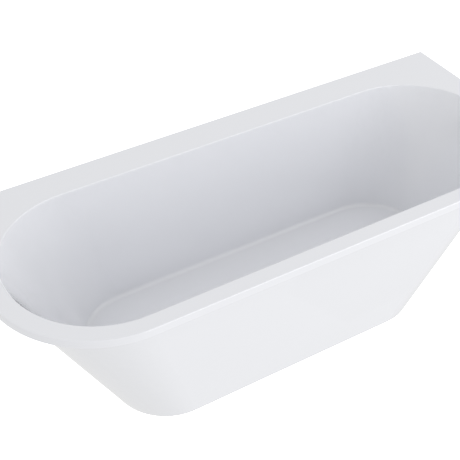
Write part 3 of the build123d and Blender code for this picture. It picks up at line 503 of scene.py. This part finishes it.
print("bench tools ready")

# %% [markdown]
# ## Breaking the edges
# No real edge is a knife edge. Folded strip, sawn timber, cut tube and moulded plastic all have
# a small radius that catches the light. Each such part is copied, and a Bevel modifier rounds
# only the edges that are sharper than a third of a right angle, so round walls stay round.

# %% Rounded edges
EDGES = {
    "frame_rail_front": 1.2, "frame_rail_rear": 1.2, "frame_cross_left": 1.2,
    "frame_cross_middle": 1.2, "frame_cross_right": 1.2, "rail_end_caps": 0.8,
    "apron_brackets_front": 0.5, "apron_brackets_end": 0.5,
    "wall_bracket_left": 0.5, "wall_bracket_right": 0.5,
    "rear_batten": 1.5, "apron_stiffener": 0.6, "base_board": 0.8,
}
for node, radius in EDGES.items():
    part = copy_of(node)
    apply_modifier(
        part, "BEVEL", width=radius * MM, segments=2, limit_method="ANGLE",
        angle_limit=math.radians(35), harden_normals=False,
    )
    settle(part, "soft_" + node, body_of(node), slot_of[node], replaces=(node,))
    print("rounded", node, len(part.data.polygons))

# %% [markdown]
# ## Threaded studs
# A foot is an M12 stud. A plain rod would pass at a glance, but the thread is the first thing
# the eye looks for. One tooth is a closed triangle of three points; the Screw modifier winds it
# up the stud, and its two open ends are filled. The core is a cylinder whose ends are bevelled.

# %% Studs
THREAD_PITCH = 1.5 * MM
THREAD_DEEP = 0.8 * MM


def stud(node):
    middle, low, high = middle_of(node)
    radius = (high.x - low.x) / 2
    root = radius - THREAD_DEEP
    tall = high.z - low.z
    put_down()
    bpy.ops.mesh.primitive_cylinder_add(vertices=24, radius=root, depth=tall, location=middle)
    core = bpy.context.object
    take(core)
    bpy.ops.object.transform_apply(location=True)
    apply_modifier(core, "BEVEL", width=0.6 * MM, segments=2, limit_method="ANGLE")

    put_down()
    start = Vector((middle.x, middle.y, low.z + THREAD_PITCH))
    bpy.ops.mesh.primitive_circle_add(vertices=3, radius=1, fill_type="NOTHING", location=(0, 0, 0))
    ridge = bpy.context.object
    foot_of_tooth = root - 0.1 * MM
    tooth = [
        (foot_of_tooth, 0, 0), (radius, 0, THREAD_PITCH * 0.45), (foot_of_tooth, 0, THREAD_PITCH * 0.9),
    ]
    for vertex, place in zip(ridge.data.vertices, tooth):
        vertex.co = place
    turns = int((tall - 3 * THREAD_PITCH) / THREAD_PITCH)
    apply_modifier(
        ridge, "SCREW", screw_offset=THREAD_PITCH, iterations=turns, steps=14, render_steps=14,
        use_merge_vertices=False,
    )
    bpy.ops.object.mode_set(mode="EDIT")
    bpy.ops.mesh.select_all(action="DESELECT")
    bpy.ops.mesh.select_mode(type="EDGE")
    bpy.ops.mesh.select_non_manifold()
    bpy.ops.mesh.fill_holes(sides=3)
    bpy.ops.mesh.select_all(action="SELECT")
    bpy.ops.mesh.normals_make_consistent(inside=False)
    bpy.ops.object.mode_set(mode="OBJECT")
    ridge.location = start
    take(ridge)
    bpy.ops.object.transform_apply(location=True)
    ridge.select_set(True)
    core.select_set(True)
    bpy.context.view_layer.objects.active = core
    bpy.ops.object.join()
    return settle(core, "thread_" + node, body_of(node), slot_of[node], replaces=(node,))


FEET = [name.removeprefix("foot_stud_") for name in nodes if name.startswith("foot_stud_")]
for foot in FEET:
    made = stud("foot_stud_" + foot)
print("studs:", len(FEET), "faces in each:", len(made.data.polygons))

# %% [markdown]
# ## Adjusting nuts
# A nut's corners are broken at both ends, and a thin raised ring, the washer face, is turned on
# the side that bears. The hexagon is a copy of the part, and a Bevel modifier breaks its edges.
# The ring is a circle, extruded up and drawn in, then extruded down again, and its two open
# edges are bridged.

# %% Nuts
WASHER_SHARE = 0.47  # radius of the ring over the width across flats
WASHER_TALL = 0.6 * MM


def nut(node):
    middle, low, high = middle_of(node)
    flats = high.y - low.y
    part = copy_of(node)
    apply_modifier(
        part, "BEVEL", width=0.9 * MM, segments=3, limit_method="ANGLE", angle_limit=math.radians(50),
    )
    put_down()
    bpy.ops.mesh.primitive_circle_add(vertices=36, radius=flats * WASHER_SHARE, location=(0, 0, 0))
    washer = bpy.context.object
    take(washer)
    bpy.ops.object.mode_set(mode="EDIT")
    bpy.ops.mesh.extrude_region_move(TRANSFORM_OT_translate={"value": (0, 0, WASHER_TALL)})
    bpy.ops.transform.resize(value=(0.72, 0.72, 1), center_override=(0, 0, 0))
    bpy.ops.mesh.extrude_region_move(TRANSFORM_OT_translate={"value": (0, 0, -WASHER_TALL)})
    bpy.ops.mesh.select_all(action="DESELECT")
    bpy.ops.mesh.select_mode(type="EDGE")
    bpy.ops.mesh.select_non_manifold()
    bpy.ops.mesh.bridge_edge_loops()
    bpy.ops.mesh.select_all(action="SELECT")
    bpy.ops.mesh.normals_make_consistent(inside=False)
    bpy.ops.object.mode_set(mode="OBJECT")
    washer.rotation_euler = (math.pi, 0, 0)
    washer.location = (middle.x, middle.y, low.z)
    take(washer)
    bpy.ops.object.transform_apply(location=True, rotation=True)
    part.select_set(True)
    bpy.context.view_layer.objects.active = part
    bpy.ops.object.join()
    return settle(part, "hexagon_" + node, body_of(node), slot_of[node], replaces=(node,))


for foot in FEET:
    nut("foot_nut_" + foot)
print("nuts:", len(FEET))

# %% [markdown]
# ## Foot pads
# The pad is moulded round the stud's socket and stiffened by ribs that run from the socket to
# the rim. The turned shape comes from one circle, extruded and resized ring by ring; the ribs
# are one bar, copied round it.

# %% Turned shapes and pads
PAD_RIBS = 8


def turned(profile, place, sides=48):
    """A shape turned about an upright axis from (radius, height) pairs, closed at its ends."""
    put_down()
    bpy.ops.mesh.primitive_circle_add(
        vertices=sides, radius=profile[0][0], fill_type="NGON",
        location=(place[0], place[1], place[2] + profile[0][1]),
    )
    piece = bpy.context.object
    take(piece)
    bpy.ops.object.mode_set(mode="EDIT")
    bpy.ops.mesh.select_all(action="SELECT")
    middle = (place[0], place[1], place[2])
    for (radius, height), (before, below) in zip(profile[1:], profile):
        bpy.ops.mesh.extrude_region_move(TRANSFORM_OT_translate={"value": (0, 0, height - below)})
        share = radius / before
        bpy.ops.transform.resize(value=(share, share, 1), center_override=middle)
    bpy.ops.mesh.select_all(action="SELECT")
    bpy.ops.mesh.normals_make_consistent(inside=False)
    bpy.ops.object.mode_set(mode="OBJECT")
    return piece


def pad(node):
    middle, low, high = middle_of(node)
    radius = (high.x - low.x) / 2
    tall = high.z - low.z
    place = (middle.x, middle.y, low.z)
    profile = [
        (radius - 1.2 * MM, 0), (radius, 1.2 * MM), (radius, 4 * MM), (radius - 0.8 * MM, 4.8 * MM),
        (radius - 3 * MM, 5 * MM), (radius * 0.5, 6 * MM), (radius * 0.47, 7 * MM),
        (radius * 0.43, tall - 0.8 * MM), (radius * 0.40, tall), (radius * 0.25, tall),
        (radius * 0.25, tall - 1 * MM),
    ]
    piece = turned(profile, place)
    for turn in range(PAD_RIBS):
        put_down()
        bpy.ops.mesh.primitive_cube_add(size=1, location=(radius * 0.62, 0, 7.5 * MM))
        rib = bpy.context.object
        rib.scale = (radius * 0.5, 1.6 * MM, 6 * MM)
        take(rib)
        bpy.ops.object.transform_apply(location=True, scale=True)
        bpy.ops.object.mode_set(mode="EDIT")
        pick(rib, lambda centre, normal: normal.x > 0.9)
        bpy.ops.transform.resize(value=(1, 1, 0.35), center_override=(radius * 0.87, 0, 4.5 * MM))
        bpy.ops.object.mode_set(mode="OBJECT")
        apply_modifier(rib, "BEVEL", width=0.4 * MM, segments=2, limit_method="ANGLE")
        rib.rotation_euler = (0, 0, math.tau * turn / PAD_RIBS)
        rib.location = place
        take(rib)
        bpy.ops.object.transform_apply(location=True, rotation=True)
        piece.select_set(True)
        bpy.context.view_layer.objects.active = piece
        bpy.ops.object.join()
    return settle(piece, "ribbed_" + node, body_of(node), slot_of[node], replaces=(node,))


for foot in FEET:
    pad("foot_pad_" + foot)
print("pads:", len(FEET))

# %% [markdown]
# ## Ribbed hose
# The overflow hose is corrugated so that it bends without kinking. It runs straight here, but
# not level, so the rings are turned upright first and the whole hose is then laid along its run.
# The run's ends are read from the hose's own box: it falls towards the waste.

# %% Hose
def laid(piece, start, finish):
    """Lay an upright piece that starts at the origin along the line between two points."""
    take(piece)
    run = finish - start
    piece.rotation_mode = "QUATERNION"
    piece.rotation_quaternion = run.to_track_quat("Z", "Y")
    piece.location = start
    bpy.ops.object.transform_apply(location=True, rotation=True)
    return piece


middle, low, high = middle_of("overflow_hose")
hose_radius = (high.y - low.y) / 2
drop = (high.z - low.z) - 2 * hose_radius
lean = math.atan(drop / (high.x - low.x))
inset = Vector((math.sin(lean), 0, math.cos(lean))) * hose_radius
near = Vector((low.x, middle.y, low.z)) + inset
far = Vector((high.x, middle.y, high.z)) - inset
HOSE_CUFF = 18 * MM
HOSE_RING = 6 * MM
hose_long = (far - near).length
rings = int((hose_long - 2 * HOSE_CUFF) / HOSE_RING)
profile = [(hose_radius * 0.8, 0), (hose_radius * 0.96, 0), (hose_radius * 0.97, HOSE_CUFF)]
step = (hose_long - 2 * HOSE_CUFF) / rings
for ring in range(rings):
    start = HOSE_CUFF + ring * step
    for share, height in ((0.86, 0.12), (0.86, 0.38), (0.97, 0.55), (1.0, 0.72), (0.97, 0.9)):
        profile.append((hose_radius * share, start + step * height))
profile += [
    (hose_radius * 0.97, hose_long - HOSE_CUFF), (hose_radius * 0.96, hose_long),
    (hose_radius * 0.8, hose_long),
]
hose = laid(turned(profile, (0, 0, 0), 40), near, far)
hose_body = body_of("overflow_hose")
settle(hose, "corrugated_hose", hose_body, "grey_hose", angle=50, replaces=("overflow_hose",))
print("hose rings:", rings, "faces:", len(hose.data.polygons))

# %% [markdown]
# ## Screw heads
# Every screw has a pan head with a cross recess. One head is turned, its recess is cut by a
# Boolean modifier with two crossed bars, and then it is copied under each screw. Where a screw sits is
# worked out from the separate solids of its group: each loose shell has a middle.

# %% Screws
HEAD_SHARE = 0.5  # height of a head over its radius
HEAD_TURN = 37  # degrees from one recess to the next


def shells_of(node):
    """The low and high corners of each separate shell in a node."""
    piece = copy_of(node)
    take(piece)
    bpy.ops.object.mode_set(mode="EDIT")
    bpy.ops.mesh.select_all(action="SELECT")
    bpy.ops.mesh.separate(type="LOOSE")
    bpy.ops.object.mode_set(mode="OBJECT")
    shells = list(bpy.context.selected_objects)
    boxes = []
    for shell in shells:
        places = [vertex.co.copy() for vertex in shell.data.vertices]
        boxes.append((
            Vector([min(place[axis] for place in places) for axis in range(3)]),
            Vector([max(place[axis] for place in places) for axis in range(3)]),
        ))
    for shell in shells:
        bpy.data.objects.remove(shell)
    return sorted(boxes, key=lambda box: (round(box[0].x, 5), round(box[0].y, 5)))


def screw_head(radius, tall):
    """Pan head that hangs below the origin, with a cross recess."""
    profile = [
        (radius * 0.98, 0), (radius, -tall * 0.3), (radius * 0.92, -tall * 0.65),
        (radius * 0.7, -tall * 0.92), (radius * 0.3, -tall),
    ]
    head = turned(profile, (0, 0, 0), 24)
    cutters = []
    for turn in (0, 90):
        put_down()
        bpy.ops.mesh.primitive_cube_add(size=1, location=(0, 0, -tall))
        bar = bpy.context.object
        bar.scale = (radius * 1.1, radius * 0.22, tall * 1.3)
        bar.rotation_euler = (0, 0, math.radians(turn))
        take(bar)
        bpy.ops.object.transform_apply(location=True, rotation=True, scale=True)
        cutters.append(bar)
    for bar in cutters:
        apply_modifier(head, "BOOLEAN", operation="DIFFERENCE", object=bar, solver="EXACT")
        bpy.data.objects.remove(bar)
    return head


def screws(node, name):
    boxes = shells_of(node)
    low, high = boxes[0]
    radius = (high.x - low.x) / 2
    tall = radius * HEAD_SHARE
    head = screw_head(radius, tall)
    copies = []
    for number, (low, high) in enumerate(boxes):
        one = head.copy()
        one.data = head.data.copy()
        bpy.context.scene.collection.objects.link(one)
        one.rotation_euler = (0, 0, math.radians(HEAD_TURN * number))
        one.location = ((low.x + high.x) / 2, (low.y + high.y) / 2, low.z + tall)
        copies.append(one)
    put_down()
    bpy.data.objects.remove(head)
    for one in copies:
        one.select_set(True)
    bpy.context.view_layer.objects.active = copies[0]
    bpy.ops.object.transform_apply(location=True, rotation=True)
    bpy.ops.object.join()
    return settle(copies[0], name, body_of(node), slot_of[node], replaces=(node,))


for node, name in (
    ("frame_screws", "rail_screw_heads"),
    ("apron_bracket_screws", "bracket_screw_heads"),
    ("wall_bracket_screws", "wall_screw_heads"),
):
    made = screws(node, name)
    print(name, len(made.data.polygons))

# %% [markdown]
# ## Weld beads
# The frame's cross members are welded to the rails, and each bush to its tube. A weld is a row
# of overlapping drops. A bead is turned as a torus round a bush, or laid as a short ribbed bar
# along a joint, and its surface is rippled by a Displace modifier with a fine cloud.

# %% Welds
BEAD = 1.6 * MM
ripple = bpy.data.textures.new("weld ripple", "CLOUDS")
ripple.noise_scale = 3 * MM
beads = []
for low, high in shells_of("foot_bushes"):
    put_down()
    bpy.ops.mesh.primitive_torus_add(
        major_radius=(high.x - low.x) / 2, minor_radius=BEAD, major_segments=48, minor_segments=8,
        location=((low.x + high.x) / 2, (low.y + high.y) / 2, high.z - BEAD * 0.3),
    )
    beads.append(bpy.context.object)
for node in ("frame_cross_left", "frame_cross_middle", "frame_cross_right"):
    middle, low, high = middle_of(node)
    for y in (low.y, high.y):
        for x in (low.x, high.x):
            long = high.z - low.z
            drops = [(BEAD * (1 + 0.16 * (step % 2)), (step + 1) * long / 16) for step in range(14)]
            beads.append(turned([(BEAD * 0.4, 0)] + drops + [(BEAD * 0.4, long)], (x, y, low.z), 10))
put_down()
for bead in beads:
    bead.select_set(True)
bpy.context.view_layer.objects.active = beads[0]
bpy.ops.object.transform_apply(location=True)
bpy.ops.object.join()
welds = beads[0]
apply_modifier(welds, "DISPLACE", texture=ripple, strength=0.5 * MM, mid_level=0.5)
settle(welds, "weld_beads", "tub", "galvanised", angle=60)
print("weld beads:", len(beads))

# %% [markdown]
# ## Trap nuts and cleaning cap
# A union nut is turned by hand, so its outside is ribbed. One rib is a rounded bar, copied
# round the nut. The bars sink a little into the nut, whose own part stays under them.

# %% Ribs on the trap
def ribs_round(start, finish, radius, count, thick):
    """Rounded bars round an axis from start to finish."""
    long = (finish - start).length
    bars = []
    for number in range(count):
        turn = math.tau * number / count
        put_down()
        bpy.ops.mesh.primitive_cylinder_add(
            vertices=10, radius=thick, depth=long * 0.84,
            location=(radius * math.cos(turn), radius * math.sin(turn), long / 2),
        )
        bar = bpy.context.object
        take(bar)
        bpy.ops.object.transform_apply(location=True)
        apply_modifier(
            bar, "BEVEL", width=thick * 0.5, segments=2, limit_method="ANGLE",
            angle_limit=math.radians(60),
        )
        bars.append(bar)
    put_down()
    for bar in bars:
        bar.select_set(True)
    bpy.context.view_layer.objects.active = bars[0]
    bpy.ops.object.join()
    return laid(bars[0], start, finish)


RIB = 1.3 * MM
RIB_OUT = RIB * 0.4  # a rib's middle line is this far inside the nut's skin
NUT_RIBS = 24
CAP_RIBS = 18
inlet, outlet = sorted(shells_of("trap_nuts"), key=lambda box: box[0].y)
inlet_middle = (inlet[0] + inlet[1]) / 2
inlet_ribs = ribs_round(
    Vector((inlet_middle.x, inlet_middle.y, inlet[0].z)),
    Vector((inlet_middle.x, inlet_middle.y, inlet[1].z)),
    (inlet[1].x - inlet[0].x) / 2 - RIB_OUT, NUT_RIBS, RIB,
)
outlet_middle = (outlet[0] + outlet[1]) / 2
outlet_ribs = ribs_round(
    Vector((outlet_middle.x, outlet[0].y, outlet_middle.z)),
    Vector((outlet_middle.x, outlet[1].y, outlet_middle.z)),
    (outlet[1].x - outlet[0].x) / 2 - RIB_OUT, NUT_RIBS, RIB,
)
middle, low, high = middle_of("trap_cleaning_cap")
cap_ribs = ribs_round(
    Vector((low.x, middle.y, middle.z)),
    Vector((high.x, middle.y, middle.z)),
    (high.y - low.y) / 2 - RIB_OUT, CAP_RIBS, RIB,
)
ribbed = {"inlet_nut_ribs": inlet_ribs, "outlet_nut_ribs": outlet_ribs, "cap_ribs": cap_ribs}
for name, piece in ribbed.items():
    settle(piece, name, "tub", "white_pp", angle=50)
print("ribs on both nuts and the cap")

# %% [markdown]
# ## Glue bead
# The batten under the deck is bonded with polyurethane, which squeezes out along its front top
# edge. The bead is a thin round bar, turned in short steps so that its skin has points to move,
# laid along the edge and rippled by a Displace modifier.

# %% Glue bead
GLUE_BEAD = 2.2 * MM
GLUE_STEP = 6 * MM
GLUE_END = 20 * MM  # bare batten at each end
GLUE_DROP = 1.5 * MM
middle, low, high = middle_of("rear_batten")
start = Vector((low.x + GLUE_END, low.y, high.z - GLUE_DROP))
finish = Vector((high.x - GLUE_END, low.y, high.z - GLUE_DROP))
squeezed = bpy.data.textures.new("squeezed glue", "CLOUDS")
squeezed.noise_scale = 12 * MM
long = (finish - start).length
steps = int(long / GLUE_STEP)
profile = [(GLUE_BEAD * 0.3, 0)]
profile += [(GLUE_BEAD, long * (step + 0.5) / steps) for step in range(steps)]
profile += [(GLUE_BEAD * 0.3, long)]
bead = laid(turned(profile, (0, 0, 0), 12), start, finish)
apply_modifier(bead, "DISPLACE", texture=squeezed, strength=1.2 * MM, mid_level=0.5)
settle(bead, "glue_bead_0", "tub", "white_pp", angle=60)
print("glue bead:", round(long, 3), "long")
